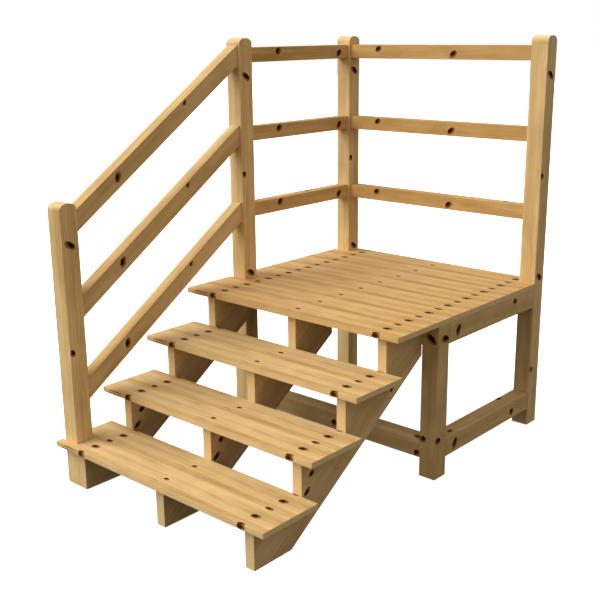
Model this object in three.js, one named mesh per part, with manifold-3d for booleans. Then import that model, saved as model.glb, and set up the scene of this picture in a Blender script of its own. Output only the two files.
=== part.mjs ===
// Wooden spa steps: three treads climb to a slatted deck, with a railing along the
// left side and the back, all in planed pine held by zinc-plated fixings.
//
// Millimetres, +Z up. The flight climbs towards +Y and +X is to the climber's right.
// The sizes below are laid out from the left end of the treads (X = 0), the front edge
// of the first tread (Y = 0) and the ground (Z = 0). The last lines move the whole
// object so that its origin is on the ground, in the middle of the footprint.

import * as THREE from "three";
import { mergeVertices } from "three/addons/utils/BufferGeometryUtils.js";
import Module from "manifold-3d";

const manifold = await Module();
manifold.setup();

// ---------------------------------------------------------------- driving dimensions

const WIDTH = 1200;
const RISE = 170;
const GOING = 255;
const FREE_TREADS = 3;
const DECK_BOARDS = 8;

const BOARD_PITCH = 145;
const BOARD_JOINT = 0.5;
const BOARD_THICKNESS = 23;
const TREAD_OVERHANG = 35;
const NOTCH_CLEARANCE = 0.5;

const STRINGER_THICKNESS = 45;
const STRINGER_FOOT = 195;
const STRINGER_TOP_SEAT = 245;
const MIDDLE_STRINGER_OFFSET = 7.5;

const POST = 80;
const LEFT_INSET = 18;
const REAR_INSET = 10;
const NEWEL_HEIGHT = 1200;
const POST_ABOVE_DECK = 1110;
const POST_TOP = { shoulder: 34, drop: 26 };

const RAIL_WIDTH = 60;
const RAIL_HEIGHT = 66;
const STAIR_RAIL_HEIGHT = 76;
const STAIR_RAIL_DROP = 12;
const RAIL_PITCH = 356;
const RAIL_COUNT = 3;
const LOWEST_RAIL_ABOVE_DECK = 291;

const JOIST_HEIGHT = 90;
const JOIST_THICKNESS = 45;
const STRETCHER_HEIGHT = 80;
const STRETCHER_CLEAR_OF_GROUND = 84;

const BRACKET = { leg: 60, shortLeg: 32, width: 40, sheet: 2.5, holeRadius: 2.5, holeInset: 12 };
const SCREW = { shankRadius: 5, length: 115, headAcrossFlats: 17, headHeight: 7, tip: 8, tipRadius: 1 };
const WASHER = { outerRadius: 15, holeRadius: 5.3, thickness: 2.5 };
const SCREW_HEIGHTS = { lower: 45, upper: 135 };
const SCREW_HOLE_CLEARANCE = 0.25;
const ROUND_SIDES = 24;
const CORNER_SEGMENTS = 8;
const CUT_MARGIN = 1;

// ---------------------------------------------------------------- worked-out positions

const slope = RISE / GOING;
const deckFront = FREE_TREADS * GOING;
const deckBack = deckFront + DECK_BOARDS * BOARD_PITCH - BOARD_JOINT;
const deckSeat = (FREE_TREADS + 1) * RISE;
const deckTop = deckSeat + BOARD_THICKNESS;
const postTop = deckTop + POST_ABOVE_DECK;

const newelFront = TREAD_OVERHANG;
const frameFront = deckFront + TREAD_OVERHANG + STRINGER_TOP_SEAT;
const frameBack = deckBack - REAR_INSET;
const rearPostFront = frameBack - POST;
const sideFront = frameFront + POST;

const leftPostRight = LEFT_INSET + POST;
const rightPostLeft = WIDTH - POST;
const joistBottom = deckSeat - JOIST_HEIGHT;
const railInset = (POST - RAIL_WIDTH) / 2;

const stringerLeftEdges = {
  left: leftPostRight,
  middle: (leftPostRight + rightPostLeft - STRINGER_THICKNESS) / 2 + MIDDLE_STRINGER_OFFSET,
  right: rightPostLeft - STRINGER_THICKNESS,
};
const middleJoistLeft = stringerLeftEdges.middle;

// ---------------------------------------------------------------- materials

function pine(colour, roughness) {
  return new THREE.MeshStandardMaterial({ color: colour, roughness, metalness: 0 });
}

const materials = {
  decking: pine(0xd7ae77, 0.55),
  post: pine(0xcda56a, 0.55),
  rail: pine(0xc69c5e, 0.55),
  frame: pine(0xbf9f6c, 0.6),
  zinc: new THREE.MeshStandardMaterial({ color: 0xb8bcc0, roughness: 0.35, metalness: 0.9 }),
};

// ---------------------------------------------------------------- shape helpers

const steps = new THREE.Group();

function addPiece(name, geometry, material) {
  const piece = new THREE.Mesh(geometry, material);
  piece.name = name;
  steps.add(piece);
  return piece;
}

// A rectangular block between two values on each axis.
function block([left, right], [front, back], [bottom, top]) {
  const geometry = new THREE.BoxGeometry(right - left, back - front, top - bottom);
  return geometry.translate((left + right) / 2, (front + back) / 2, (bottom + top) / 2);
}

// A side profile drawn in (Y, Z) and given a thickness along X.
function sideProfile(shape, left, thickness) {
  const geometry = new THREE.ExtrudeGeometry(shape, {
    depth: thickness,
    bevelEnabled: false,
    curveSegments: CORNER_SEGMENTS,
  });
  const profileToWorld = new THREE.Matrix4().makeBasis(
    new THREE.Vector3(0, 1, 0),
    new THREE.Vector3(0, 0, 1),
    new THREE.Vector3(1, 0, 0),
  );
  return geometry.applyMatrix4(profileToWorld).translate(left, 0, 0);
}

function outline(points) {
  return new THREE.Shape(points.map(([across, up]) => new THREE.Vector2(across, up)));
}

function toSolid(geometry) {
  const bare = geometry.clone();
  bare.deleteAttribute("normal");
  bare.deleteAttribute("uv");
  const merged = mergeVertices(bare);
  return new manifold.Manifold(new manifold.Mesh({
    numProp: 3,
    vertProperties: new Float32Array(merged.attributes.position.array),
    triVerts: new Uint32Array(merged.index.array),
  }));
}

function toGeometry(solid) {
  const mesh = solid.getMesh();
  const geometry = new THREE.BufferGeometry();
  geometry.setAttribute("position", new THREE.BufferAttribute(mesh.vertProperties, 3));
  geometry.setIndex(new THREE.BufferAttribute(mesh.triVerts, 1));
  geometry.computeVertexNormals();
  return geometry;
}

function cut(geometry, cutters) {
  let solid = toSolid(geometry);
  for (const cutter of cutters) {
    solid = solid.subtract(toSolid(cutter));
  }
  return toGeometry(solid);
}

// ---------------------------------------------------------------- boards

// The notch that lets a post pass, open at the nearer end of the board.
function leftNotch(postFront) {
  return block(
    [-CUT_MARGIN, leftPostRight + NOTCH_CLEARANCE],
    [postFront - NOTCH_CLEARANCE, postFront + POST + NOTCH_CLEARANCE],
    [-CUT_MARGIN, deckTop + CUT_MARGIN],
  );
}

// At the deck's back corners the notch also runs out through the back edge.
function cornerNotch([left, right]) {
  return block(
    [left, right],
    [rearPostFront - NOTCH_CLEARANCE, deckBack + CUT_MARGIN],
    [-CUT_MARGIN, deckTop + CUT_MARGIN],
  );
}

function boardGeometry(front, seat) {
  return block([0, WIDTH], [front, front + BOARD_PITCH - BOARD_JOINT], [seat, seat + BOARD_THICKNESS]);
}

function addTreads() {
  for (let tread = 1; tread <= FREE_TREADS; tread += 1) {
    const front = (tread - 1) * GOING;
    const seat = tread * RISE;
    let frontBoard = boardGeometry(front, seat);
    if (tread === 1) {
      frontBoard = cut(frontBoard, [leftNotch(newelFront)]);
    }
    addPiece(`tread_${tread}_front_board`, frontBoard, materials.decking);
    const rearBoard = boardGeometry(front + BOARD_PITCH, seat);
    addPiece(`tread_${tread}_rear_board`, rearBoard, materials.decking);
  }
}

function addDeck() {
  const headNotch = leftNotch(frameFront);
  const rearLeftNotch = cornerNotch([-CUT_MARGIN, leftPostRight + NOTCH_CLEARANCE]);
  const rearRightNotch = cornerNotch([rightPostLeft - NOTCH_CLEARANCE, WIDTH + CUT_MARGIN]);
  // The stair head post passes through the joint of the second and third boards, and the
  // rear posts stand in the corners of the last one.
  const notches = {
    2: [headNotch],
    3: [headNotch],
    [DECK_BOARDS]: [rearLeftNotch, rearRightNotch],
  };
  for (let number = 1; number <= DECK_BOARDS; number += 1) {
    let board = boardGeometry(deckFront + (number - 1) * BOARD_PITCH, deckSeat);
    if (notches[number]) {
      board = cut(board, notches[number]);
    }
    addPiece(`deck_board_${number}`, board, materials.decking);
  }
}

// ---------------------------------------------------------------- stringers

// Saw-tooth outline: a seat for every tread, the long seat under the deck, an upright cut
// where the stringer meets the deck frame, and a sloping underside down to the foot.
function stringerShape() {
  const points = [[TREAD_OVERHANG, 0]];
  for (let tread = 1; tread <= FREE_TREADS; tread += 1) {
    const riser = TREAD_OVERHANG + (tread - 1) * GOING;
    points.push([riser, tread * RISE]);
    points.push([riser + GOING, tread * RISE]);
  }
  points.push([deckFront + TREAD_OVERHANG, deckSeat]);
  points.push([frameFront, deckSeat]);
  const footBack = TREAD_OVERHANG + STRINGER_FOOT;
  points.push([frameFront, (frameFront - footBack) * slope]);
  points.push([footBack, 0]);
  return outline(points);
}

function addStringers() {
  const shape = stringerShape();
  for (const [side, left] of Object.entries(stringerLeftEdges)) {
    let geometry = sideProfile(shape, left, STRINGER_THICKNESS);
    if (side === "left") {
      geometry = cut(geometry, Object.values(SCREW_HEIGHTS).map(screwHole));
    }
    addPiece(`stringer_${side}`, geometry, materials.frame);
  }
}

// ---------------------------------------------------------------- posts

// A post with its top arched from front to back: two quarter ellipses with a short flat between.
function postGeometry(left, front, height) {
  const { shoulder, drop } = POST_TOP;
  const back = front + POST;
  const spring = height - drop;
  const shape = new THREE.Shape();
  shape.moveTo(front, 0);
  shape.lineTo(back, 0);
  shape.lineTo(back, spring);
  shape.absellipse(back - shoulder, spring, shoulder, drop, 0, Math.PI / 2, false, 0);
  shape.lineTo(front + shoulder, height);
  shape.absellipse(front + shoulder, spring, shoulder, drop, Math.PI / 2, Math.PI, false, 0);
  return sideProfile(shape, left, POST);
}

function addPosts() {
  const newel = cut(
    postGeometry(LEFT_INSET, newelFront, NEWEL_HEIGHT),
    Object.values(SCREW_HEIGHTS).map(screwHole),
  );
  addPiece("newel_post", newel, materials.post);
  addPiece("stair_head_post", postGeometry(LEFT_INSET, frameFront, postTop), materials.post);
  addPiece("rear_left_post", postGeometry(LEFT_INSET, rearPostFront, postTop), materials.post);
  addPiece("rear_right_post", postGeometry(rightPostLeft, rearPostFront, postTop), materials.post);
  const leg = block([rightPostLeft, WIDTH], [frameFront, sideFront], [0, deckSeat]);
  addPiece("front_right_leg", leg, materials.post);
}

// ---------------------------------------------------------------- deck frame

function addJoists() {
  const heights = [joistBottom, deckSeat];
  const acrossPosts = [leftPostRight, rightPostLeft];
  const betweenPosts = [sideFront, rearPostFront];
  const joists = {
    front_rim_joist: [acrossPosts, [frameFront, frameFront + JOIST_THICKNESS]],
    rear_rim_joist: [acrossPosts, [frameBack - JOIST_THICKNESS, frameBack]],
    left_rim_joist: [[LEFT_INSET, LEFT_INSET + JOIST_THICKNESS], betweenPosts],
    right_rim_joist: [[WIDTH - JOIST_THICKNESS, WIDTH], betweenPosts],
    middle_joist: [
      [middleJoistLeft, middleJoistLeft + JOIST_THICKNESS],
      [frameFront + JOIST_THICKNESS, frameBack - JOIST_THICKNESS],
    ],
  };
  for (const [name, [across, along]] of Object.entries(joists)) {
    addPiece(name, block(across, along, heights), materials.frame);
  }
}

// Low bearers that tie the feet of the posts together, across the front and along the open side.
function addStretchers() {
  const heights = [STRETCHER_CLEAR_OF_GROUND, STRETCHER_CLEAR_OF_GROUND + STRETCHER_HEIGHT];
  const front = block([leftPostRight, rightPostLeft], [frameFront, sideFront], heights);
  const right = block([rightPostLeft, WIDTH], [sideFront, rearPostFront], heights);
  addPiece("front_stretcher", front, materials.frame);
  addPiece("right_stretcher", right, materials.frame);
}

// ---------------------------------------------------------------- railing

// A stair rail climbs at the slope of the flight, with upright cuts where it meets the posts.
// It is deeper than a level rail, and at the head its underside starts a little lower.
function stairRailGeometry(undersideAtHead) {
  const foot = newelFront + POST;
  const head = frameFront;
  const climb = (head - foot) * slope;
  const uprightHeight = STAIR_RAIL_HEIGHT * Math.hypot(1, slope);
  const shape = outline([
    [foot, undersideAtHead - climb],
    [head, undersideAtHead],
    [head, undersideAtHead + uprightHeight],
    [foot, undersideAtHead - climb + uprightHeight],
  ]);
  return sideProfile(shape, LEFT_INSET + railInset, RAIL_WIDTH);
}

function addRails() {
  const railAcross = [LEFT_INSET + railInset, leftPostRight - railInset];
  const railDeep = [rearPostFront + railInset, frameBack - railInset];
  for (let row = 0; row < RAIL_COUNT; row += 1) {
    const level = ["lower", "middle", "top"][row];
    const underside = deckTop + LOWEST_RAIL_ABOVE_DECK + row * RAIL_PITCH;
    const heights = [underside, underside + RAIL_HEIGHT];
    const stair = stairRailGeometry(underside - STAIR_RAIL_DROP);
    addPiece(`stair_rail_${level}`, stair, materials.rail);
    const side = block(railAcross, [sideFront, rearPostFront], heights);
    addPiece(`side_rail_${level}`, side, materials.rail);
    const back = block([leftPostRight, rightPostLeft], railDeep, heights);
    addPiece(`back_rail_${level}`, back, materials.rail);
  }
}

// ---------------------------------------------------------------- angle brackets

// A bent sheet angle lying in the plan corner at (0, 0). Its long leg runs along X with its
// back on Y = 0, and its other leg runs along Y with its back on X = 0. Each leg has holes.
function bracketGeometry(otherLeg) {
  const { leg, width, sheet, holeRadius, holeInset } = BRACKET;
  const shape = outline([[0, 0], [leg, 0], [leg, sheet], [sheet, sheet], [sheet, otherLeg], [0, otherLeg]]);
  const angle = new THREE.ExtrudeGeometry(shape, { depth: width, bevelEnabled: false });
  const drillLength = sheet + 2 * CUT_MARGIN;
  const drill = new THREE.CylinderGeometry(holeRadius, holeRadius, drillLength, ROUND_SIDES / 2);
  const cutters = [];
  for (const height of [holeInset, width - holeInset]) {
    cutters.push(drill.clone().translate(leg - holeInset, sheet / 2, height));
    cutters.push(drill.clone().rotateZ(Math.PI / 2).translate(sheet / 2, otherLeg - holeInset, height));
  }
  return cut(angle, cutters);
}

// Puts a bracket in a plan corner. `along` and `out` are the signs of the directions in which
// the two legs run; `turned` lays the long leg along Y in place of X.
function addBracket(name, corner, [along, out], turned = false, otherLeg = BRACKET.leg) {
  const bottom = joistBottom + (JOIST_HEIGHT - BRACKET.width) / 2;
  const geometry = bracketGeometry(otherLeg);
  const mirrored = along * out < 0;
  if (turned !== mirrored) {
    // Swapping X and Y mirrors the bracket, so it is turned over to stay a real solid.
    geometry.applyMatrix4(new THREE.Matrix4().makeBasis(
      new THREE.Vector3(0, 1, 0),
      new THREE.Vector3(1, 0, 0),
      new THREE.Vector3(0, 0, -1),
    ));
    geometry.translate(0, 0, BRACKET.width);
  }
  geometry.rotateZ(quarterTurns([along, out]) * Math.PI / 2);
  const piece = addPiece(name, geometry, materials.zinc);
  piece.position.set(corner[0], corner[1], bottom);
}

// The turn that takes the first quadrant (+X, +Y) to the quadrant with the given signs.
function quarterTurns([along, out]) {
  const quadrants = { "1,1": 0, "-1,1": 1, "-1,-1": 2, "1,-1": 3 };
  return quadrants[[along, out]];
}

function addBrackets() {
  const frontInner = frameFront + JOIST_THICKNESS;
  const rearInner = frameBack - JOIST_THICKNESS;
  const leftInner = LEFT_INSET + JOIST_THICKNESS;
  const rightInner = WIDTH - JOIST_THICKNESS;
  for (const [side, left] of Object.entries(stringerLeftEdges)) {
    addBracket(`stringer_bracket_${side}`, [left, frameFront], [-1, -1]);
  }
  addBracket("joist_bracket_front", [middleJoistLeft, frontInner], [-1, 1]);
  addBracket("joist_bracket_rear", [middleJoistLeft, rearInner], [-1, -1]);
  const short = BRACKET.shortLeg;
  addBracket("front_rim_bracket_left", [leftPostRight, frontInner], [1, 1], false, short);
  addBracket("front_rim_bracket_right", [rightPostLeft, frontInner], [-1, 1], false, short);
  addBracket("rear_rim_bracket_left", [leftPostRight, rearInner], [1, -1], false, short);
  addBracket("rear_rim_bracket_right", [rightPostLeft, rearInner], [-1, -1], false, short);
  addBracket("left_rim_bracket_front", [leftInner, sideFront], [1, 1], true, short);
  addBracket("left_rim_bracket_rear", [leftInner, rearPostFront], [1, -1], true, short);
  addBracket("right_rim_bracket_front", [rightInner, sideFront], [-1, 1], true, short);
  addBracket("right_rim_bracket_rear", [rightInner, rearPostFront], [-1, -1], true, short);
}

// ---------------------------------------------------------------- coach screws

const screwAxisY = newelFront + POST / 2;

function alongX(geometry, left, height) {
  return geometry.rotateZ(-Math.PI / 2).translate(left, screwAxisY, height);
}

// The hole through the newel post and into the stringer that one coach screw sits in.
function screwHole(height) {
  const radius = SCREW.shankRadius + SCREW_HOLE_CLEARANCE;
  const drill = new THREE.CylinderGeometry(radius, radius, SCREW.length + CUT_MARGIN, ROUND_SIDES);
  return alongX(drill, LEFT_INSET + SCREW.length / 2, height);
}

// Half outline of a coach screw: hexagon head, plain shank and pointed tip.
function coachScrewGeometry() {
  const { shankRadius, length, headAcrossFlats, headHeight, tip, tipRadius } = SCREW;
  const headRadius = headAcrossFlats / 2 / Math.cos(Math.PI / 6);
  const shank = new THREE.LatheGeometry([
    new THREE.Vector2(0, -headHeight / 2),
    new THREE.Vector2(shankRadius, -headHeight / 2),
    new THREE.Vector2(shankRadius, length - tip),
    new THREE.Vector2(tipRadius, length),
    new THREE.Vector2(0, length),
  ], ROUND_SIDES);
  const head = new THREE.CylinderGeometry(headRadius, headRadius, headHeight, 6);
  head.translate(0, -headHeight / 2, 0);
  return toGeometry(toSolid(shank).add(toSolid(head)));
}

function washerGeometry() {
  const { outerRadius, holeRadius, thickness } = WASHER;
  return new THREE.LatheGeometry([
    new THREE.Vector2(holeRadius, 0),
    new THREE.Vector2(outerRadius, 0),
    new THREE.Vector2(outerRadius, thickness),
    new THREE.Vector2(holeRadius, thickness),
    new THREE.Vector2(holeRadius, 0),
  ], ROUND_SIDES);
}

function addCoachScrews() {
  for (const [level, height] of Object.entries(SCREW_HEIGHTS)) {
    const underHead = LEFT_INSET - WASHER.thickness;
    addPiece(`newel_washer_${level}`, alongX(washerGeometry(), underHead, height), materials.zinc);
    addPiece(`newel_screw_${level}`, alongX(coachScrewGeometry(), underHead, height), materials.zinc);
  }
}

// ---------------------------------------------------------------- assembly

addTreads();
addDeck();
addStringers();
addPosts();
addJoists();
addStretchers();
addRails();
addBrackets();
addCoachScrews();

steps.position.set(-WIDTH / 2, -deckBack / 2, 0);

export default steps;
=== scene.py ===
"""Pine spa steps: rounded timbers, knotty planed pine, zinc fixings and a plain studio."""

import math

import bmesh
import bpy
from bpy.props import FloatProperty, FloatVectorProperty, PointerProperty
from mathutils import Matrix, Vector


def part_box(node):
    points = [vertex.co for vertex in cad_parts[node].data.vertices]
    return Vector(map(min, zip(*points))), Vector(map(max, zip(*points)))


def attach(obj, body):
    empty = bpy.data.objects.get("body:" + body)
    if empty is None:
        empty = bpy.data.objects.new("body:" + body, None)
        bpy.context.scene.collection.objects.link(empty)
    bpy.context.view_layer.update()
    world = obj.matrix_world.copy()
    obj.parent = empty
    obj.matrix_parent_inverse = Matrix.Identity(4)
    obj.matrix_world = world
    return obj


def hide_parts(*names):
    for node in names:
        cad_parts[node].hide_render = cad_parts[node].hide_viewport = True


bl_info = {
    "name": "Pine spa steps",
    "version": (1, 0, 0),
    "blender": (4, 5, 0),
    "location": "View3D > Sidebar > Spa Steps",
    "description": "Builds the timbers, fixings and studio of a flight of pine spa steps",
    "category": "Add Mesh",
}

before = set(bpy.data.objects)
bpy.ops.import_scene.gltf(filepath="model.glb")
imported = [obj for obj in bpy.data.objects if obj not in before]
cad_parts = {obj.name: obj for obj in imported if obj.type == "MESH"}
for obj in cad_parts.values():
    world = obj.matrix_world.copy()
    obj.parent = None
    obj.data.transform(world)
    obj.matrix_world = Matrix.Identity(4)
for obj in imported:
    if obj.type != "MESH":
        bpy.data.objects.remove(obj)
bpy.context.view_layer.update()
NODES = sorted(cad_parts)

MM = 0.001
UP = Vector((0, 0, 1))
RIGHT = Vector((1, 0, 0))
BACK = Vector((0, 1, 0))


# ------------------------------------------------------------------ settings

class TimberSettings(bpy.types.PropertyGroup):
    board_arris: FloatProperty(
        name="Board arris", description="Rounding of the boards' edges",
        default=1.2 * MM, unit="LENGTH")
    post_arris: FloatProperty(
        name="Post arris", description="Rounding of the posts' edges",
        default=1.6 * MM, unit="LENGTH")
    rail_arris: FloatProperty(
        name="Rail arris", description="Rounding of the rails' edges",
        default=2.0 * MM, unit="LENGTH")
    frame_arris: FloatProperty(
        name="Frame arris", description="Rounding of stringers, joists and stretchers",
        default=1.5 * MM, unit="LENGTH")
    pale: FloatVectorProperty(
        name="Pale wood", description="Early wood between the growth lines",
        default=(0.80, 0.57, 0.29), subtype="COLOR", min=0, max=1)
    honey: FloatVectorProperty(
        name="Honey wood", description="The main colour of the planed pine",
        default=(0.66, 0.44, 0.19), subtype="COLOR", min=0, max=1)
    amber: FloatVectorProperty(
        name="Amber wood", description="Late wood in the growth lines",
        default=(0.49, 0.29, 0.10), subtype="COLOR", min=0, max=1)
    knot_rim: FloatVectorProperty(
        name="Knot rim", description="Red-brown wood round a knot",
        default=(0.27, 0.085, 0.016), subtype="COLOR", min=0, max=1)
    knot_heart: FloatVectorProperty(
        name="Knot heart", description="Dark middle of a knot",
        default=(0.022, 0.0055, 0.0015), subtype="COLOR", min=0, max=1)


class FixingSettings(bpy.types.PropertyGroup):
    screw_head: FloatProperty(
        name="Screw head", description="Diameter of a bracket screw's head",
        default=7.5 * MM, unit="LENGTH")
    hole_inset: FloatProperty(
        name="Hole inset", description="Distance from a bracket's edge to its holes",
        default=12 * MM, unit="LENGTH")
    sheet: FloatProperty(
        name="Sheet", description="Thickness of a bracket's sheet metal",
        default=2.5 * MM, unit="LENGTH")
    zinc: FloatVectorProperty(
        name="Zinc", description="Colour of the zinc plate",
        default=(0.58, 0.59, 0.60), subtype="COLOR", min=0, max=1)


class StudioSettings(bpy.types.PropertyGroup):
    camera_place: FloatVectorProperty(
        name="Camera place", description="Where the camera stands",
        default=(2.6654, -3.0771, 1.8428), subtype="TRANSLATION")
    camera_heading: FloatProperty(
        name="Heading", description="Turn of the camera from +Y towards -X",
        default=math.radians(41.722), subtype="ANGLE")
    camera_dip: FloatProperty(
        name="Dip", description="How far the camera looks down",
        default=math.radians(15.587), subtype="ANGLE")
    camera_roll: FloatProperty(
        name="Roll", description="Lean of the camera about its line of sight",
        default=math.radians(-0.585), subtype="ANGLE")
    lens: FloatProperty(
        name="Lens", description="Focal length on a 36 mm wide sensor, in millimetres",
        default=57.919)
    key_direction: FloatVectorProperty(
        name="Key direction", description="Direction towards the key light",
        default=(-0.42, -0.50, 0.66), subtype="DIRECTION")
    key_strength: FloatProperty(
        name="Key strength", description="Strength of the key light", default=2.9)
    key_softness: FloatProperty(
        name="Key softness", description="Angle that the key light fills",
        default=math.radians(60), subtype="ANGLE")
    fill_strength: FloatProperty(
        name="Fill strength", description="Light from all round", default=0.57)
    fill_colour: FloatVectorProperty(
        name="Fill colour", description="Colour of the light from all round",
        default=(1.0, 0.95, 0.86), subtype="COLOR", min=0, max=1)
    floor_bounce: FloatProperty(
        name="Floor bounce", description="Share of the light that the floor passes on", default=0.05)
    floor_glow: FloatProperty(
        name="Floor glow", description="How far the floor's own brightness hides shadows", default=0.92)
    floor_colour: FloatVectorProperty(
        name="Floor", description="Colour of the floor and the room",
        default=(1.0, 1.0, 1.0), subtype="COLOR", min=0, max=1)


# ------------------------------------------------------------------ node helpers

def add_node(tree, kind, inputs=None, **settings):
    """Adds a node, sets its properties, and fills its inputs with values or links."""
    node = tree.nodes.new(kind)
    for name, value in settings.items():
        setattr(node, name, value)
    for name, value in (inputs or {}).items():
        if isinstance(value, bpy.types.NodeSocket):
            tree.links.new(value, node.inputs[name])
        else:
            node.inputs[name].default_value = value
    return node


def sum_of(tree, operation, *values, clamp=False):
    """One Math node; returns its output."""
    inputs = dict(enumerate(values))
    return add_node(tree, "ShaderNodeMath", inputs, operation=operation, use_clamp=clamp).outputs[0]


def ramp_down(tree, value, high, low):
    """1 where value is at or under high, 0 at or over low, smooth between."""
    node = add_node(
        tree, "ShaderNodeMapRange",
        {"Value": value, "From Min": high, "From Max": low, "To Min": 1.0, "To Max": 0.0},
        interpolation_type="SMOOTHSTEP")
    return node.outputs["Result"]


def blend(tree, factor, first, second, mode="MIX"):
    """Mixes two colours; returns the result."""
    node = add_node(tree, "ShaderNodeMix", data_type="RGBA", blend_type=mode)
    for index, value in ((0, factor), (6, first), (7, second)):
        if isinstance(value, bpy.types.NodeSocket):
            tree.links.new(value, node.inputs[index])
        elif index == 0:
            node.inputs[index].default_value = value
        else:
            node.inputs[index].default_value = (*value[:3], 1.0)
    return node.outputs[2]


def stretched_noise(tree, place, stretch, detail=3.0, roughness=0.55, distortion=0.0):
    """Noise on a place vector multiplied by a stretch in each direction."""
    scaled = add_node(tree, "ShaderNodeVectorMath", {0: place, 1: stretch}, operation="MULTIPLY")
    noise = add_node(
        tree, "ShaderNodeTexNoise",
        {"Vector": scaled.outputs[0], "Scale": 1.0, "Detail": detail,
         "Roughness": roughness, "Distortion": distortion})
    return noise.outputs["Fac"]


def new_group(name, inputs, outputs):
    """An empty shader node group; inputs and outputs are (name, socket type, default)."""
    tree = bpy.data.node_groups.new(name, "ShaderNodeTree")
    for label, kind, default in inputs:
        socket = tree.interface.new_socket(name=label, in_out="INPUT", socket_type=kind)
        if default is not None:
            socket.default_value = default
    for label, kind in outputs:
        tree.interface.new_socket(name=label, in_out="OUTPUT", socket_type=kind)
    source = tree.nodes.new("NodeGroupInput")
    sink = tree.nodes.new("NodeGroupOutput")
    return tree, source, sink


FLOAT = "NodeSocketFloat"
VECTOR = "NodeSocketVector"


# ------------------------------------------------------------------ shader groups

GROWTH_LINES_PER_METRE = 95.0
LINE_WANDER = 16.0
FINE_LINE_WANDER = 1.6
LATE_WOOD_SHARPNESS = 2.2
SAWN_STRIP = 36.25 * MM
STRIP_BLOCKS_PER_METRE = 4.5
STRIP_BLOCK_FADE = 0.72
STRIP_TONE_STEP = {"along": 0.15, "across": 3.7}
TONE_SHARES = {"late wood": 0.20, "broad": 1.15, "streak": 0.75, "fibre": 0.22}
TONE_OFFSET = 0.68


def sawn_strip_tone(tree, split, strength):
    """Each sawn strip has its own tone, which changes in soft-edged blocks along its length."""
    strip_number = sum_of(tree, "FLOOR", sum_of(tree, "DIVIDE", split.outputs["Y"], SAWN_STRIP))
    along_strip = sum_of(
        tree, "MULTIPLY_ADD", split.outputs["X"], STRIP_BLOCKS_PER_METRE, split.outputs["Z"])
    block_share = sum_of(tree, "FRACT", along_strip)
    soft_step = ramp_down(tree, block_share, 1.0, STRIP_BLOCK_FADE)
    along_block = sum_of(tree, "ADD", sum_of(tree, "FLOOR", along_strip), soft_step)
    strip_place = add_node(tree, "ShaderNodeCombineXYZ", {
        "X": sum_of(tree, "MULTIPLY", along_block, STRIP_TONE_STEP["along"]),
        "Y": sum_of(tree, "MULTIPLY", strip_number, STRIP_TONE_STEP["across"]),
        "Z": split.outputs["Z"]})
    strip_noise = add_node(tree, "ShaderNodeTexNoise", {
        "Vector": strip_place.outputs[0], "Scale": 1.0, "Detail": 1.0}).outputs["Fac"]
    return sum_of(tree, "MULTIPLY", sum_of(tree, "SUBTRACT", strip_noise, 0.5), strength)


def pine_figure_group():
    """Growth lines, fibres and broad tone of planed pine, laid out along the grain."""
    tree, source, sink = new_group(
        "Pine figure",
        [("Place", VECTOR, None), ("Strip", FLOAT, 0.0)],
        [("Tone", FLOAT), ("Fibre", FLOAT), ("Patch", FLOAT)])
    place = source.outputs["Place"]
    split = add_node(tree, "ShaderNodeSeparateXYZ", {0: place})

    wander = stretched_noise(tree, place, (1.1, 7.0, 3.0), detail=2.0)
    fine_wander = stretched_noise(tree, place, (3.0, 30.0, 5.0), detail=2.0)
    wander = sum_of(tree, "MULTIPLY", wander, LINE_WANDER)
    line_place = sum_of(tree, "MULTIPLY_ADD", split.outputs["Y"], GROWTH_LINES_PER_METRE, wander)
    line_place = sum_of(tree, "MULTIPLY_ADD", fine_wander, FINE_LINE_WANDER, line_place)
    late_wood = sum_of(tree, "POWER", sum_of(tree, "FRACT", line_place), LATE_WOOD_SHARPNESS)

    broad = stretched_noise(tree, place, (1.5, 17.0, 4.0))
    streak = stretched_noise(tree, place, (2.2, 90.0, 4.0), detail=2.0)
    fibre = stretched_noise(tree, place, (7.0, 420.0, 9.0), roughness=0.65)
    patch = stretched_noise(tree, place, (8.0, 15.0, 4.0), detail=1.0)

    tone = sum_of(tree, "MULTIPLY", broad, TONE_SHARES["broad"])
    tone = sum_of(tree, "MULTIPLY_ADD", late_wood, TONE_SHARES["late wood"], tone)
    tone = sum_of(tree, "MULTIPLY_ADD", streak, TONE_SHARES["streak"], tone)
    tone = sum_of(tree, "ADD", tone, sawn_strip_tone(tree, split, source.outputs["Strip"]))
    tone = sum_of(tree, "MULTIPLY_ADD", fibre, TONE_SHARES["fibre"], tone)
    tone = sum_of(tree, "SUBTRACT", tone, TONE_OFFSET, clamp=True)
    tree.links.new(tone, sink.inputs["Tone"])
    tree.links.new(fibre, sink.inputs["Fibre"])
    tree.links.new(patch, sink.inputs["Patch"])
    return tree


HEART_SHIFT = 0.25
HEART_RISE = 0.15
HEART_EDGE = (0.52, 0.70)
HEART_RAGGED = 0.6
RIM_EDGE = (0.80, 1.0)
RIM_RAGGED = 0.55
RIM_GAIN = 1.6
GRAIN_BEND = {"reach": -0.35, "pull": -0.75}


def length_of(tree, first, second):
    """The length of a flat step made of two parts."""
    first_square = sum_of(tree, "MULTIPLY", first, first)
    second_square = sum_of(tree, "MULTIPLY", second, second)
    return sum_of(tree, "SQRT", sum_of(tree, "ADD", first_square, second_square))


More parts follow.
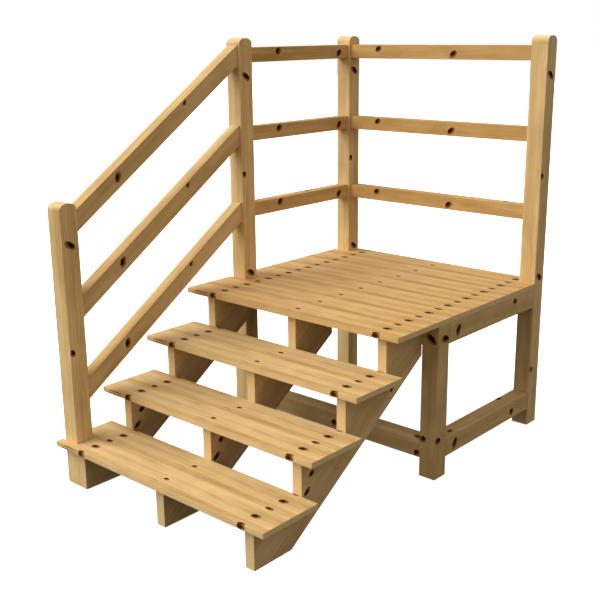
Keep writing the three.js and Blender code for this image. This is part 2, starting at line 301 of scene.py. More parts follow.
def knot_group():
    """One knot: a dark heart with a red-brown rim, and the grain bent round it."""
    tree, source, sink = new_group(
        "Knot",
        [("Place", VECTOR, None), ("Bent Place", VECTOR, None), ("Centre", VECTOR, None),
         ("Size", VECTOR, (0.02, 0.012, 1.0)), ("Slant", FLOAT, 0.0)],
        [("Heart", FLOAT), ("Rim", FLOAT), ("Bent Place", VECTOR)])
    place = source.outputs["Place"]
    offset = add_node(tree, "ShaderNodeVectorMath", {0: place, 1: source.outputs["Centre"]},
                      operation="SUBTRACT")
    split = add_node(tree, "ShaderNodeSeparateXYZ", {0: offset.outputs[0]})
    size = add_node(tree, "ShaderNodeSeparateXYZ", {0: source.outputs["Size"]})
    darkness = size.outputs["Z"]
    lean = sum_of(tree, "MULTIPLY", split.outputs["Y"], source.outputs["Slant"])
    along = sum_of(tree, "DIVIDE", sum_of(tree, "SUBTRACT", split.outputs["X"], lean), size.outputs["X"])
    across = sum_of(tree, "DIVIDE", split.outputs["Y"], size.outputs["Y"])
    distance = length_of(tree, along, across)
    ragged = stretched_noise(tree, place, (120.0, 120.0, 9.0), detail=2.0)
    ragged = sum_of(tree, "SUBTRACT", ragged, 0.5)
    edge = sum_of(tree, "MULTIPLY_ADD", ragged, RIM_RAGGED, distance)
    rim_strength = sum_of(tree, "MULTIPLY", darkness, RIM_GAIN, clamp=True)
    rim = sum_of(tree, "MULTIPLY", ramp_down(tree, edge, *RIM_EDGE), rim_strength)
    # The heart sits towards one end of the knot, so the rim trails off along the grain.
    shift = sum_of(tree, "ADD", along, HEART_SHIFT)
    rise = sum_of(tree, "SUBTRACT", across, HEART_RISE)
    heart_edge = sum_of(tree, "MULTIPLY_ADD", ragged, HEART_RAGGED, length_of(tree, shift, rise))
    heart = sum_of(tree, "MULTIPLY", ramp_down(tree, heart_edge, *HEART_EDGE), darkness)

    reach = sum_of(tree, "MULTIPLY", sum_of(tree, "POWER", distance, 2.0), GRAIN_BEND["reach"])
    pull = sum_of(tree, "EXPONENT", reach)
    bend = sum_of(tree, "MULTIPLY", sum_of(tree, "MULTIPLY", split.outputs["Y"], pull), GRAIN_BEND["pull"])
    sideways = add_node(tree, "ShaderNodeCombineXYZ", {"Y": bend}).outputs[0]
    bent = add_node(
        tree, "ShaderNodeVectorMath", {0: source.outputs["Bent Place"], 1: sideways}, operation="ADD")
    tree.links.new(heart, sink.inputs["Heart"])
    tree.links.new(rim, sink.inputs["Rim"])
    tree.links.new(bent.outputs[0], sink.inputs["Bent Place"])
    return tree


PITH_PLACE = (-0.03, 0.045, 0.0)
RINGS_PER_METRE = 260.0
RING_WOBBLE = 1.6
CRACK_EDGE = (0.27, 0.31)


def end_grain_group():
    """Growth rings and short drying cracks on a sawn end."""
    tree, source, sink = new_group(
        "End grain", [("Place", VECTOR, None)], [("Ring", FLOAT), ("Crack", FLOAT)])
    place = source.outputs["Place"]
    from_pith = add_node(tree, "ShaderNodeVectorMath", {0: place, 1: PITH_PLACE}, operation="SUBTRACT")
    flat = add_node(
        tree, "ShaderNodeVectorMath", {0: from_pith.outputs[0], 1: (1.0, 1.0, 0.0)}, operation="MULTIPLY")
    length = add_node(tree, "ShaderNodeVectorMath", {0: flat.outputs[0]}, operation="LENGTH")
    radius = length.outputs["Value"]
    wobble = stretched_noise(tree, place, (24.0, 24.0, 2.0), detail=2.0)
    wobble = sum_of(tree, "MULTIPLY", wobble, RING_WOBBLE)
    rings = sum_of(tree, "FRACT", sum_of(tree, "MULTIPLY_ADD", radius, RINGS_PER_METRE, wobble))
    crack_noise = stretched_noise(tree, place, (30.0, 260.0, 6.0), detail=1.0)
    crack = ramp_down(tree, crack_noise, *CRACK_EDGE)
    tree.links.new(rings, sink.inputs["Ring"])
    tree.links.new(crack, sink.inputs["Crack"])
    return tree


GROUPS = {}


def use_group(tree, name, inputs):
    node = add_node(tree, "ShaderNodeGroup", node_tree=GROUPS[name])
    for label, value in inputs.items():
        if isinstance(value, bpy.types.NodeSocket):
            tree.links.new(value, node.inputs[label])
        else:
            node.inputs[label].default_value = value
    return node


def make_groups():
    GROUPS["figure"] = pine_figure_group()
    GROUPS["knot"] = knot_group()
    GROUPS["end"] = end_grain_group()


# ------------------------------------------------------------------ pine materials

def new_material(name):
    material = bpy.data.materials.new(name)
    material.use_nodes = True
    tree = material.node_tree
    shader = tree.nodes["Principled BSDF"]
    return material, tree, shader


def strongest(tree, values):
    """The largest of several masks."""
    result = values[0]
    for value in values[1:]:
        result = sum_of(tree, "MAXIMUM", result, value)
    return result


JOINT_FADE = (1.5 * MM, 12 * MM)
RIM_SHARE = 0.92
ARRIS_PAINTED_SHADE = 0.18
CRACK_SHARE = 0.55
JOINT_PAINTED_SHADE = 0.6
PINE_GLOSS = {"smooth": 0.42, "fibre": 0.22, "knot": 0.35}
PINE_RELIEF = {"fibre": 0.5, "tone": 0.6, "crack": -2.0, "heart": -1.6}


def near_joint(tree, place):
    """1 where a timber's end meets its neighbour, falling to 0 a little way along it: the mask of the
    painted shade at the joints.
    """
    length = add_node(tree, "ShaderNodeAttribute", attribute_name="timber_length").outputs["Fac"]
    along = add_node(tree, "ShaderNodeSeparateXYZ", {0: place}).outputs["X"]
    from_end = sum_of(tree, "MINIMUM", along, sum_of(tree, "SUBTRACT", length, along))
    return ramp_down(tree, from_end, *JOINT_FADE)


def pine_material(name, knots, strip=0.7, patch=0.35, tint=(1.0, 1.0, 1.0), joint_painted_shade=0.0):
    """Planed pine. Each knot is (along, across, half length, half width, slant, darkness) in mm."""
    look = bpy.context.scene.steps_timber
    material, tree, shader = new_material(name)
    place = add_node(tree, "ShaderNodeAttribute", attribute_name="grain_place").outputs["Vector"]
    end_place = add_node(tree, "ShaderNodeAttribute", attribute_name="end_place").outputs["Vector"]
    end_share = add_node(tree, "ShaderNodeAttribute", attribute_name="end_share").outputs["Fac"]
    arris = add_node(tree, "ShaderNodeAttribute", attribute_name="arris_share").outputs["Fac"]

    bent = place
    hearts = []
    rims = []
    for along, across, half_length, half_width, slant, darkness in knots:
        knot = use_group(tree, "knot", {
            "Place": place, "Bent Place": bent,
            "Centre": (along * MM, across * MM, 0.0),
            "Size": (half_length * MM, half_width * MM, darkness),
            "Slant": slant})
        bent = knot.outputs["Bent Place"]
        hearts.append(knot.outputs["Heart"])
        rims.append(knot.outputs["Rim"])
    figure = use_group(tree, "figure", {"Place": bent, "Strip": strip})
    end = use_group(tree, "end", {"Place": end_place})

    tone = figure.outputs["Tone"]
    wood = blend(tree, sum_of(tree, "MULTIPLY", tone, 2.0, clamp=True), look.pale, look.honey)
    wood = blend(tree, sum_of(tree, "MULTIPLY_ADD", tone, 2.0, -1.0, clamp=True), wood, look.amber)
    lit_patch = sum_of(tree, "MULTIPLY_ADD", figure.outputs["Patch"], patch, 1.0 - patch / 2)
    grey = add_node(
        tree, "ShaderNodeCombineColor", {"Red": lit_patch, "Green": lit_patch, "Blue": lit_patch})
    wood = blend(tree, 1.0, wood, grey.outputs[0], mode="MULTIPLY")

    # Between 0.15 and 0.45 of the way from pale to honey.
    ring = sum_of(tree, "MULTIPLY_ADD", end.outputs["Ring"], 0.30, 0.15)
    end_wood = blend(tree, ring, look.pale, look.honey)
    crack = sum_of(tree, "MULTIPLY", end.outputs["Crack"], CRACK_SHARE)
    end_wood = blend(tree, crack, end_wood, look.knot_rim)
    wood = blend(tree, 1.0, wood, tint, mode="MULTIPLY")
    wood = blend(tree, end_share, wood, end_wood)
    # Painted shade on the rounded edges, so that the seams between touching parts show as dark lines.
    wood = blend(tree, sum_of(tree, "MULTIPLY", arris, ARRIS_PAINTED_SHADE), wood, look.amber)
    # Painted shade where the timber's ends meet the posts and timbers that they join.
    if joint_painted_shade:
        wood = blend(tree, sum_of(tree, "MULTIPLY", near_joint(tree, place), joint_painted_shade), wood, look.amber)

    bump_height = sum_of(tree, "MULTIPLY", figure.outputs["Fibre"], PINE_RELIEF["fibre"])
    bump_height = sum_of(tree, "MULTIPLY_ADD", figure.outputs["Tone"], PINE_RELIEF["tone"], bump_height)
    end_crack = sum_of(tree, "MULTIPLY", end.outputs["Crack"], end_share)
    bump_height = sum_of(tree, "MULTIPLY_ADD", end_crack, PINE_RELIEF["crack"], bump_height)
    gloss = sum_of(tree, "MULTIPLY_ADD", figure.outputs["Fibre"], PINE_GLOSS["fibre"], PINE_GLOSS["smooth"])
    if knots:
        side_share = sum_of(tree, "SUBTRACT", 1.0, end_share)
        rim = sum_of(tree, "MULTIPLY", strongest(tree, rims), side_share)
        heart = sum_of(tree, "MULTIPLY", strongest(tree, hearts), side_share)
        wood = blend(tree, sum_of(tree, "MULTIPLY", rim, RIM_SHARE), wood, look.knot_rim)
        wood = blend(tree, heart, wood, look.knot_heart)
        bump_height = sum_of(tree, "MULTIPLY_ADD", heart, PINE_RELIEF["heart"], bump_height)
        gloss = sum_of(tree, "MULTIPLY_ADD", rim, PINE_GLOSS["knot"], gloss)
    bump = add_node(tree, "ShaderNodeBump", {"Strength": 0.35, "Distance": 0.0012, "Height": bump_height})
    tree.links.new(wood, shader.inputs["Base Color"])
    tree.links.new(gloss, shader.inputs["Roughness"])
    tree.links.new(bump.outputs["Normal"], shader.inputs["Normal"])
    shader.inputs["Specular IOR Level"].default_value = 0.07
    return material


# Knots of each kind of timber: (along, across, half length, half width, slant, darkness).
# Across is counted from the first edge of the show face and runs on round the corners.
BOARD_KNOTS = [
    (1094, 74, 22, 16, 0.2, 1.0),
    (1093, 2, 20, 11, 0.0, 0.85),
    (1093, 145, 20, 11, 0.0, 0.85),
    (174, 72, 22, 16, 0.2, 1.0),
    (172, 2, 20, 11, 0.0, 0.85),
    (172, 145, 20, 11, 0.0, 0.85),
    (628, 64, 14, 10, 0.0, 0.95),
]
FRONT_EDGE_KNOTS = [
    (1092, -13, 23, 13, 0.0, 0.9),
    (171, -13, 23, 13, 0.0, 0.9),
    (92, -5, 52, 4, 0.0, 0.34),
    (70, -17, 48, 3, 0.0, 0.30),
]
POST_KNOTS = [
    (168, 38, 18, 28, 0.5, 1.0),
    (612, 13, 17, 14, 0.2, 1.0),
    (1085, 40, 18, 27, 0.45, 1.0),
    (1533, 13, 17, 14, 0.2, 1.0),
    (392, 122, 20, 12, 0.5, 0.9),
    (1300, 200, 22, 14, -0.5, 0.9),
    (840, 130, 18, 11, 0.3, 0.9),
]
SIDE_RAIL_KNOTS = [
    (188, 46, 20, 20, 0.3, 1.0),
    (638, 27, 19, 22, 0.5, 1.0),
    (420, 96, 18, 10, 0.0, 0.9),
]
BACK_RAIL_KNOTS = [
    (176, 46, 20, 17, 0.3, 1.0),
    (613, 24, 20, 20, 0.5, 1.0),
    (905, 110, 18, 10, 0.0, 0.9),
]
STAIR_RAIL_KNOTS = [
    (294, 41, 20, 21, 0.5, 1.0),
    (763, 62, 14, 10, 0.5, 1.0),
    (520, 160, 18, 10, 0.0, 0.9),
]
STRETCHER_KNOTS = [
    (71, 40, 18, 28, 0.35, 1.0),
    (553, 34, 18, 18, 0.2, 1.0),
    (87, 116, 18, 13, 0.0, 0.9),
    (555, 150, 21, 12, 0.0, 1.0),
    (1010, 18, 19, 15, 0.3, 1.0),
    (1000, 108, 27, 18, 0.0, 0.6),
]
JOIST_KNOTS = [
    (70, 45, 19, 28, 0.3, 1.0),
    (537, 66, 18, 16, 0.1, 1.0),
    (940, 42, 19, 26, 0.3, 1.0),
]
LEG_KNOTS = [
    (62, 50, 18, 30, 0.2, 1.0),
    (505, 17, 17, 21, 0.1, 1.0),
    (58, -34, 20, 28, 0.45, 1.0),
    (507, -64, 17, 17, 0.0, 1.0),
]
STRINGER_KNOTS = [
    (408, 157, 18, 13, 0.0, 1.0),
    (350, 118, 25, 12, 0.3, 1.0),
    (919, 39, 15, 8, 0.0, 1.0),
]


# ------------------------------------------------------------------ timber meshes

class Grain:
    """Directions in a timber: along the fibres, across the show face, and out of that face."""

    def __init__(self, along, across, face):
        self.along = Vector(along).normalized()
        self.across = Vector(across).normalized()
        self.face = Vector(face).normalized()


def slope_direction():
    """The direction in which the flight climbs, from one tread's front edge to the next."""
    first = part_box("tread_1_front_board")
    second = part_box("tread_2_front_board")
    return Vector((0, second[0].y - first[0].y, second[0].z - first[0].z)).normalized()


CLIMB = slope_direction()
CLIMB_NORMAL = Vector((0, -CLIMB.z, CLIMB.y))

GRAINS = {
    "board": Grain(RIGHT, BACK, UP),
    "post": Grain(-UP, BACK, RIGHT),
    "along_side": Grain(BACK, UP, RIGHT),
    "along_front": Grain(RIGHT, UP, -BACK),
    "climbing": Grain(CLIMB, CLIMB_NORMAL, RIGHT),
}


ARRIS_SEGMENTS = 3
SHORTEST_ROUNDED_EDGE = 4 * MM
SHARPEST_FLAT_TURN = math.radians(30)
CREASE_TURN = math.radians(40)
FACING = 0.7
BOARD_SEED = 2.6
SEED_STEP = 1.7


def merged_copy(node):
    """The node's shape as a clean bmesh: shared corners merged, flat triangles joined."""
    work = bmesh.new()
    work.from_mesh(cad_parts[node].data)
    bmesh.ops.remove_doubles(work, verts=work.verts, dist=1e-5)
    bmesh.ops.dissolve_limit(work, angle_limit=math.radians(1), verts=work.verts, edges=work.edges)
    return work


def round_arrises(work, radius):
    """Rounds the outer edges, leaving drilled holes and inner corners alone."""
    edges = []
    for edge in work.edges:
        if len(edge.link_faces) != 2 or edge.calc_length() < SHORTEST_ROUNDED_EDGE:
            continue
        if edge.is_convex and edge.calc_face_angle() > SHARPEST_FLAT_TURN:
            edges.append(edge)
    bmesh.ops.bevel(work, geom=edges, offset=radius, offset_type="OFFSET", segments=ARRIS_SEGMENTS,
                    profile=0.5, affect="EDGES", clamp_overlap=True)


def lay_out_grain(mesh, grain, seed):
    """Stores where each face corner lies along and across the grain, in metres."""
    corners = [vertex.co for vertex in mesh.vertices]
    start = min(corner.dot(grain.along) for corner in corners)
    edge = min(corner.dot(grain.across) for corner in corners)
    far_edge = max(corner.dot(grain.across) for corner in corners)
    length = max(corner.dot(grain.along) for corner in corners) - start
    front = max(corner.dot(grain.face) for corner in corners)
    rear = min(corner.dot(grain.face) for corner in corners)
    width = far_edge - edge
    depth = front - rear
    mesh.attributes.new("grain_place", "FLOAT_VECTOR", "CORNER")
    mesh.attributes.new("end_place", "FLOAT_VECTOR", "CORNER")
    mesh.attributes.new("end_share", "FLOAT", "CORNER")
    mesh.attributes.new("timber_length", "FLOAT", "CORNER")
    grain_place = mesh.attributes["grain_place"].data
    end_place = mesh.attributes["end_place"].data
    end_share = mesh.attributes["end_share"].data
    timber_length = mesh.attributes["timber_length"].data
    for face in mesh.polygons:
        out = face.normal.dot(grain.face)
        sideways = face.normal.dot(grain.across)
        for loop in face.loop_indices:
            corner = mesh.vertices[mesh.loops[loop].vertex_index].co
            along = corner.dot(grain.along) - start
            across = corner.dot(grain.across) - edge
            below = front - corner.dot(grain.face)
            if out < -FACING:
                place = 2 * width + depth - across
            elif out > FACING:
                place = across
            else:
                place = across + math.copysign(below, sideways)
            grain_place[loop].vector = (along, place, seed)
            end_place[loop].vector = (across, below, seed)
            lengthways = abs(face.normal.dot(grain.along))
            timber_length[loop].value = length
            end_share[loop].value = min(max((lengthways - 0.45) / 0.3, 0.0), 1.0)


def mark_arrises(work, flat_area):
    """A face attribute that is 1 on the small faces of a rounded edge."""
    layer = work.faces.layers.float.new("arris_share")
    for face in work.faces:
        narrow = face.calc_area() < flat_area * max(edge.calc_length() for edge in face.edges)
        face[layer] = 1.0 if narrow else 0.0


def finished_mesh(name, work):
    """Turns the bmesh into a smooth-shaded mesh whose flat faces stay flat."""
    for face in work.faces:
        face.smooth = True
    for edge in work.edges:
        if len(edge.link_faces) == 2 and edge.calc_face_angle() > CREASE_TURN:
            edge.smooth = False
    mesh = bpy.data.meshes.new(name)
    work.to_mesh(mesh)
    work.free()
    holder = bpy.data.objects.new(name + "_work", mesh)
    bpy.context.scene.collection.objects.link(holder)
    weighted = holder.modifiers.new("weighted_normals", "WEIGHTED_NORMAL")
    weighted.keep_sharp = True
    bpy.context.view_layer.update()
    evaluated = holder.evaluated_get(bpy.context.evaluated_depsgraph_get())
    result = bpy.data.meshes.new_from_object(evaluated)
    result.name = name
    bpy.data.objects.remove(holder)
    bpy.data.meshes.remove(mesh)
    return result


def add_timber(node, grain_name, arris, material):
    """Makes the visible timber that stands for a CAD node."""
    work = merged_copy(node)
    round_arrises(work, arris)
    mark_arrises(work, 1.2 * arris)
    mesh = finished_mesh(node + "_timber", work)
    # The boards come from one stock pattern; every other timber has its own figure.
    seed = BOARD_SEED if grain_name == "board" else SEED_STEP * NODES.index(node)
    lay_out_grain(mesh, GRAINS[grain_name], seed)
    mesh.materials.append(material)
    piece = bpy.data.objects.new(node + "_timber", mesh)
    bpy.context.scene.collection.objects.link(piece)
    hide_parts(node)
    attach(piece, "root")
    return piece


def nodes_named(*starts):
    return [node for node in NODES if node.startswith(starts)]


# ------------------------------------------------------------------ operators: timbers

class STEPS_OT_treads(bpy.types.Operator):
    """Builds the boards of the three treads"""
    bl_idname = "steps.treads"
    bl_label = "Treads"

    def execute(self, context):
        arris = context.scene.steps_timber.board_arris
        front_knots = BOARD_KNOTS + FRONT_EDGE_KNOTS
        front = pine_material("tread_front_pine", front_knots, strip=1.5, patch=0.35)
        rear = pine_material("tread_rear_pine", BOARD_KNOTS, strip=1.5, patch=0.35)
        for node in nodes_named("tread_"):
            material = front if node.endswith("front_board") else rear
            add_timber(node, "board", arris, material)
        return {"FINISHED"}


class STEPS_OT_deck(bpy.types.Operator):
    """Builds the deck's eight boards"""
    bl_idname = "steps.deck"
    bl_label = "Deck boards"

    def execute(self, context):
        arris = context.scene.steps_timber.board_arris
        tint = (0.93, 0.86, 0.77)
        front_knots = BOARD_KNOTS + FRONT_EDGE_KNOTS
        first = pine_material("deck_front_pine", front_knots, strip=1.7, patch=0.35, tint=tint)
        others = pine_material("deck_pine", BOARD_KNOTS, strip=1.7, patch=0.35, tint=tint)
        for node in nodes_named("deck_board_"):
            material = first if node == "deck_board_1" else others
            add_timber(node, "board", arris, material)
        return {"FINISHED"}


class STEPS_OT_stringers(bpy.types.Operator):
    """Builds the three saw-tooth stringers"""
    bl_idname = "steps.stringers"
    bl_label = "Stringers"

    def execute(self, context):
        arris = context.scene.steps_timber.frame_arris
        pine = pine_material("stringer_pine", STRINGER_KNOTS, tint=(1.0, 1.01, 1.04))
        for node in nodes_named("stringer_left", "stringer_middle", "stringer_right"):
            add_timber(node, "climbing", arris, pine)
        return {"FINISHED"}


class STEPS_OT_posts(bpy.types.Operator):
    """Builds the newel, the three deck posts and the front right leg"""
    bl_idname = "steps.posts"
    bl_label = "Posts"

    def execute(self, context):
        arris = context.scene.steps_timber.post_arris
        pine = pine_material("post_pine", POST_KNOTS, strip=0.8, tint=(1.06, 1.06, 1.06))
        # The leg's darker tint is painted shade, for the leg that stands in shade under the deck.
        leg_pine = pine_material("leg_pine", LEG_KNOTS, tint=(0.84, 0.80, 0.72))
        for node in ("newel_post", "stair_head_post", "rear_left_post", "rear_right_post"):
            add_timber(node, "post", arris, pine)
        add_timber("front_right_leg", "post", arris, leg_pine)
        return {"FINISHED"}


class STEPS_OT_deck_frame(bpy.types.Operator):
    """Builds the joists under the deck and the low stretchers"""
    bl_idname = "steps.deck_frame"
    bl_label = "Deck frame"

    def execute(self, context):
        arris = context.scene.steps_timber.frame_arris
        # The darker tints of the joists and stretchers are painted shade, for timbers that sit in shade
        # under the deck.
        joist_pine = pine_material(
            "joist_pine", JOIST_KNOTS, tint=(0.92, 0.92, 0.87), joint_painted_shade=JOINT_PAINTED_SHADE)
        stretcher_pine = pine_material(
            "stretcher_pine", STRETCHER_KNOTS, tint=(0.93, 0.92, 0.88), joint_painted_shade=JOINT_PAINTED_SHADE)
        for node in ("front_rim_joist", "rear_rim_joist"):
            add_timber(node, "along_front", arris, joist_pine)
        for node in ("left_rim_joist", "right_rim_joist", "middle_joist"):
            add_timber(node, "along_side", arris, joist_pine)
        add_timber("front_stretcher", "along_front", arris, stretcher_pine)
        add_timber("right_stretcher", "along_side", arris, stretcher_pine)
        return {"FINISHED"}


class STEPS_OT_rails(bpy.types.Operator):
    """Builds the stair rails, side rails and back rails"""
    bl_idname = "steps.rails"
    bl_label = "Rails"

    def execute(self, context):
        arris = context.scene.steps_timber.rail_arris
        kinds = {
            "stair_rail_": ("climbing", STAIR_RAIL_KNOTS, (0.94, 0.93, 0.93)),
            # The darker tints of the side and back rails are painted shade.
            "side_rail_": ("along_side", SIDE_RAIL_KNOTS, (0.90, 0.82, 0.68)),
            "back_rail_": ("along_front", BACK_RAIL_KNOTS, (0.85, 0.76, 0.60)),
        }
        for start, (grain, knots, tint) in kinds.items():
            pine = pine_material(start + "pine", knots, tint=tint, joint_painted_shade=JOINT_PAINTED_SHADE)
            for node in nodes_named(start):
                add_timber(node, grain, arris, pine)
        return {"FINISHED"}


# ------------------------------------------------------------------ operators: fixings

DULLED = 0.72


def zinc_material(name, colour):
    """Zinc plate with soft spangle, fine scratches and slight dulling."""
    material, tree, shader = new_material(name)
    coordinates = add_node(tree, "ShaderNodeTexCoord").outputs["Object"]
    spangle = add_node(tree, "ShaderNodeTexVoronoi", {"Vector": coordinates, "Scale": 140.0})
    cloud = stretched_noise(tree, coordinates, (60.0, 60.0, 60.0), detail=4.0)
    tone = sum_of(tree, "MULTIPLY", cloud, 0.3)
    tone = sum_of(tree, "MULTIPLY_ADD", spangle.outputs["Distance"], 0.25, tone)
    dull = tuple(DULLED * channel for channel in colour)
    plate = blend(tree, tone, colour, dull)
    scratches = stretched_noise(tree, coordinates, (900.0, 60.0, 900.0), detail=2.0)
    roughness = sum_of(tree, "MULTIPLY_ADD", cloud, 0.3, 0.22)
    bump = add_node(tree, "ShaderNodeBump", {"Strength": 0.15, "Distance": 0.0002, "Height": scratches})
    tree.links.new(plate, shader.inputs["Base Color"])
    tree.links.new(roughness, shader.inputs["Roughness"])
    tree.links.new(bump.outputs["Normal"], shader.inputs["Normal"])
    shader.inputs["Metallic"].default_value = 0.95
    return material


class STEPS_OT_fixings(bpy.types.Operator):
    """Gives the angle brackets, coach screws and washers their zinc plate"""
    bl_idname = "steps.fixings"
    bl_label = "Brackets and coach screws"

    def execute(self, context):
        zinc = zinc_material("zinc_plate", tuple(context.scene.steps_fixings.zinc))
        for node in NODES:
            if "bracket" in node or node.startswith(("newel_screw", "newel_washer")):
                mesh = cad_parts[node].data
                mesh.materials.clear()
                mesh.materials.append(zinc)
        return {"FINISHED"}


HEAD_SIDES = 16
HEAD_PROFILE = [(0.50, 0.0), (0.50, 0.02), (0.44, 0.07), (0.26, 0.09)]
RECESS = {"point": 0.22, "waist": 0.09, "rim": 0.085, "floor": 0.01, "taper": 0.9}


def ring_point(step, reach, lift):
    angle = 2 * math.pi * step / HEAD_SIDES
    return Vector((reach * math.cos(angle), reach * math.sin(angle), lift))


def screw_head_mesh():
    """A low domed head with a cross-shaped recess, one unit in diameter."""
    work = bmesh.new()
    loops = []
    for reach, lift in HEAD_PROFILE:
        loops.append([work.verts.new(ring_point(step, reach, lift)) for step in range(HEAD_SIDES)])
    star = []
    for step in range(HEAD_SIDES):
        reach = RECESS["point"] if step % 4 == 0 else RECESS["waist"]
        star.append(work.verts.new(ring_point(step, reach, RECESS["rim"])))
    loops.append(star)
    floor = []
    for vert in star:
        inner = vert.co * RECESS["taper"]
        floor.append(work.verts.new((inner.x, inner.y, RECESS["floor"])))
    loops.append(floor)
    for lower, upper in zip(loops, loops[1:]):
        for step in range(HEAD_SIDES):
            following = (step + 1) % HEAD_SIDES
            work.faces.new((lower[step], lower[following], upper[following], upper[step]))
    work.faces.new(floor)
    work.faces.new(list(reversed(loops[0])))
    mesh = bpy.data.meshes.new("screw_head")
    work.to_mesh(mesh)
    work.free()
    return mesh


def scatter_tree(head, material):
    """Geometry nodes that put one head on every point, each with its own turn."""
    tree = bpy.data.node_groups.new("Screw heads", "GeometryNodeTree")
    tree.interface.new_socket(name="Geometry", in_out="INPUT", socket_type="NodeSocketGeometry")
    for label, default in (("Head Diameter", 7.5 * MM), ("Largest Turn", math.pi)):
        socket = tree.interface.new_socket(name=label, in_out="INPUT", socket_type=FLOAT)
        socket.default_value = default
    tree.interface.new_socket(name="Geometry", in_out="OUTPUT", socket_type="NodeSocketGeometry")
    source = tree.nodes.new("NodeGroupInput")
    sink = tree.nodes.new("NodeGroupOutput")
    info = add_node(tree, "GeometryNodeObjectInfo", {"Object": head})
    turn = add_node(tree, "FunctionNodeRandomValue", {3: source.outputs["Largest Turn"], "Seed": 7},
                    data_type="FLOAT")
    spin = add_node(tree, "ShaderNodeCombineXYZ", {"Z": turn.outputs[1]})
    facing = add_node(tree, "GeometryNodeInputNamedAttribute", {"Name": "facing"}, data_type="FLOAT_VECTOR")
    align = add_node(tree, "FunctionNodeAlignRotationToVector", {"Vector": facing.outputs[0]}, axis="Z")
    local_turn = add_node(tree, "FunctionNodeRotateRotation",
                          {0: align.outputs[0], 1: spin.outputs[0]}, rotation_space="LOCAL")
    place = add_node(tree, "GeometryNodeInstanceOnPoints",
                     {"Points": source.outputs["Geometry"], "Instance": info.outputs["Geometry"],
                      "Rotation": local_turn.outputs[0], "Scale": source.outputs["Head Diameter"]})
    real = add_node(tree, "GeometryNodeRealizeInstances", {"Geometry": place.outputs[0]})
    painted = add_node(tree, "GeometryNodeSetMaterial", {"Geometry": real.outputs[0], "Material": material})
    tree.links.new(painted.outputs[0], sink.inputs["Geometry"])
    return tree


def input_identifier(tree, label):
    for item in tree.interface.items_tree:
        if item.item_type == "SOCKET" and item.in_out == "INPUT" and item.name == label:
            return item.identifier
    raise KeyError(label)


def scatter_heads(name, places, tree, diameter):
    """places is a list of (point, facing direction)."""
    points = bpy.data.meshes.new(name + "_points")
    points.from_pydata([point for point, facing in places], [], [])
    layer = points.attributes.new("facing", "FLOAT_VECTOR", "POINT")
    for index, (point, facing) in enumerate(places):
        layer.data[index].vector = facing
    holder = bpy.data.objects.new(name + "_points", points)
    bpy.context.scene.collection.objects.link(holder)
    modifier = holder.modifiers.new("heads", "NODES")
    modifier.node_group = tree
    modifier[input_identifier(tree, "Head Diameter")] = diameter
    bpy.context.view_layer.update()
    evaluated = holder.evaluated_get(bpy.context.evaluated_depsgraph_get())
    mesh = bpy.data.meshes.new_from_object(evaluated)
    mesh.name = name
    bpy.data.objects.remove(holder)
    piece = bpy.data.objects.new(name, mesh)
    bpy.context.scene.collection.objects.link(piece)
    if not mesh.polygons:
        raise RuntimeError(f"{name} came out empty")
    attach(piece, "root")
    return piece


def bracket_screw_places(hole_inset, sheet):
    """One screw in each hole of every angle bracket, seated on the sheet."""
    places = []
    for node in NODES:
        if "bracket" not in node:
            continue
        low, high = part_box(node)
        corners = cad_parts[node].data.vertices
        # The bend of the angle is the plan corner where both legs meet.
        bend_x = low.x if leg_side(corners, low, high, "x") else high.x
        bend_y = low.y if leg_side(corners, low, high, "y") else high.y
        step_x = 1 if bend_x == low.x else -1
        step_y = 1 if bend_y == low.y else -1
        for height in (low.z + hole_inset, high.z - hole_inset):
            far_x = bend_x + step_x * (high.x - low.x - hole_inset)
            far_y = bend_y + step_y * (high.y - low.y - hole_inset)
            places.append(((far_x, bend_y + step_y * sheet, height), (0, step_y, 0)))
            places.append(((bend_x + step_x * sheet, far_y, height), (step_x, 0, 0)))
    return places


def leg_side(corners, low, high, axis):
    """Whether the bend is at the low end of this axis: most corners lie near the bend."""
    middle = (getattr(low, axis) + getattr(high, axis)) / 2
    near_low = sum(1 for corner in corners if getattr(corner.co, axis) < middle)
    return 2 * near_low > len(corners)


class STEPS_OT_screws(bpy.types.Operator):
    """Sets a screw head in every hole of the angle brackets"""
    bl_idname = "steps.screws"
    bl_label = "Screw heads"

    def execute(self, context):
        settings = context.scene.steps_fixings
        zinc = zinc_material("bracket_screw", tuple(settings.zinc))
        head = bpy.data.objects.new("head_pattern", screw_head_mesh())
        bpy.context.scene.collection.objects.link(head)
        places = bracket_screw_places(settings.hole_inset, settings.sheet)
        scatter_heads("bracket_screw_heads", places, scatter_tree(head, zinc), settings.screw_head)
        bpy.data.objects.remove(head)
        return {"FINISHED"}


# ------------------------------------------------------------------ operator: studio

def add_floor(studio):
    """A wide pale floor; it shows its full colour but passes on only part of the light."""
    reach = 30.0
    mesh = bpy.data.meshes.new("studio_floor")
    corners = [(-reach, -reach, 0), (reach, -reach, 0), (reach, reach, 0), (-reach, reach, 0)]
    mesh.from_pydata(corners, [], [(0, 1, 2, 3)])
    floor = bpy.data.objects.new("studio_floor", mesh)
    bpy.context.scene.collection.objects.link(floor)
    material, tree, shader = new_material("studio_floor")
    path = add_node(tree, "ShaderNodeLightPath")
    bright = tuple(studio.floor_colour)
    passed_on = tuple(studio.floor_bounce * channel for channel in bright)
    seen = blend(tree, path.outputs["Is Camera Ray"], passed_on, bright)
    tree.links.new(seen, shader.inputs["Base Color"])
    glow = blend(tree, path.outputs["Is Camera Ray"], (0.0, 0.0, 0.0), bright)
    tree.links.new(glow, shader.inputs["Emission Color"])
    shader.inputs["Emission Strength"].default_value = studio.floor_glow
    shader.inputs["Roughness"].default_value = 0.9
    shader.inputs["Specular IOR Level"].default_value = 0.0
    mesh.materials.append(material)


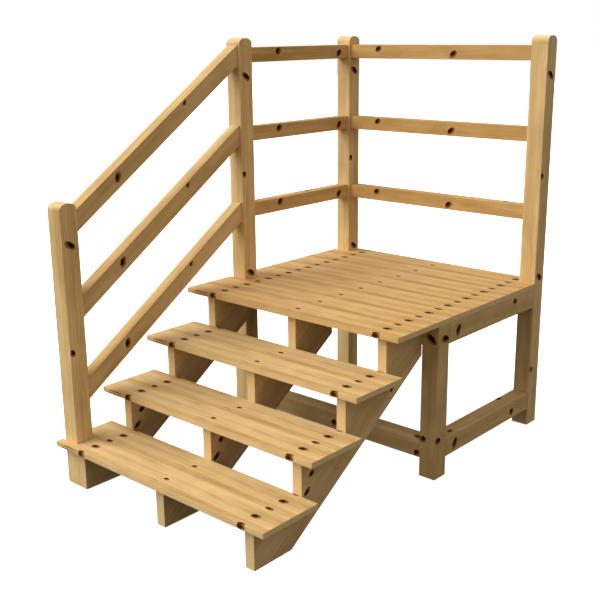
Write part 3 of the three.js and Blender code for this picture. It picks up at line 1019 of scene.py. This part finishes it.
def add_world(studio):
    world = bpy.data.worlds.new("studio")
    bpy.context.scene.world = world
    world.use_nodes = True
    tree = world.node_tree
    background = tree.nodes["Background"]
    path = add_node(tree, "ShaderNodeLightPath")
    strength = add_node(tree, "ShaderNodeMapRange", {
        "Value": path.outputs["Is Camera Ray"], "To Min": studio.fill_strength, "To Max": 1.0})
    seen = blend(tree, path.outputs["Is Camera Ray"], tuple(studio.fill_colour), tuple(studio.floor_colour))
    tree.links.new(seen, background.inputs["Color"])
    tree.links.new(strength.outputs["Result"], background.inputs["Strength"])


def add_key_light(studio):
    light = bpy.data.lights.new("key_light", "SUN")
    light.energy = studio.key_strength
    light.angle = studio.key_softness
    light.color = (0.99, 1.0, 1.0)
    lamp = bpy.data.objects.new("key_light", light)
    direction = Vector(studio.key_direction)
    lamp.rotation_euler = direction.to_track_quat("Z", "Y").to_euler()
    lamp.location = 4 * direction
    bpy.context.scene.collection.objects.link(lamp)


def add_camera(studio):
    camera = bpy.data.cameras.new("camera")
    camera.lens = studio.lens
    camera.sensor_width = 36.0
    camera.clip_end = 200.0
    holder = bpy.data.objects.new("camera", camera)
    heading = Matrix.Rotation(studio.camera_heading, 4, "Z")
    dip = Matrix.Rotation(math.pi / 2 - studio.camera_dip, 4, "X")
    roll = Matrix.Rotation(studio.camera_roll, 4, "Z")
    holder.matrix_world = Matrix.Translation(studio.camera_place) @ heading @ dip @ roll
    bpy.context.scene.collection.objects.link(holder)
    bpy.context.scene.camera = holder


class STEPS_OT_studio(bpy.types.Operator):
    """Sets up the floor, the light and the camera"""
    bl_idname = "steps.studio"
    bl_label = "Studio"

    def execute(self, context):
        studio = context.scene.steps_studio
        add_floor(studio)
        add_world(studio)
        add_key_light(studio)
        add_camera(studio)
        context.scene.view_settings.view_transform = "Standard"
        return {"FINISHED"}


# ------------------------------------------------------------------ panel and registration

OPERATORS = (
    STEPS_OT_treads,
    STEPS_OT_deck,
    STEPS_OT_stringers,
    STEPS_OT_posts,
    STEPS_OT_deck_frame,
    STEPS_OT_rails,
    STEPS_OT_fixings,
    STEPS_OT_screws,
    STEPS_OT_studio,
)


class STEPS_PT_panel(bpy.types.Panel):
    bl_idname = "STEPS_PT_panel"
    bl_label = "Spa Steps"
    bl_space_type = "VIEW_3D"
    bl_region_type = "UI"
    bl_category = "Spa Steps"

    def draw(self, context):
        for operator in OPERATORS:
            self.layout.operator(operator.bl_idname)
        for group in (context.scene.steps_timber, context.scene.steps_fixings, context.scene.steps_studio):
            box = self.layout.box()
            for name in group.__annotations__:
                box.prop(group, name)


SETTINGS = {
    "steps_timber": TimberSettings,
    "steps_fixings": FixingSettings,
    "steps_studio": StudioSettings,
}


def register():
    for cls in (*SETTINGS.values(), *OPERATORS, STEPS_PT_panel):
        bpy.utils.register_class(cls)
    for name, group in SETTINGS.items():
        setattr(bpy.types.Scene, name, PointerProperty(type=group))


def unregister():
    for name in SETTINGS:
        delattr(bpy.types.Scene, name)
    for cls in reversed((*SETTINGS.values(), *OPERATORS, STEPS_PT_panel)):
        bpy.utils.unregister_class(cls)


def main():
    register()
    make_groups()
    for operator in OPERATORS:
        getattr(bpy.ops.steps, operator.bl_idname.split(".")[1])()


if __name__ == "__main__":
    main()
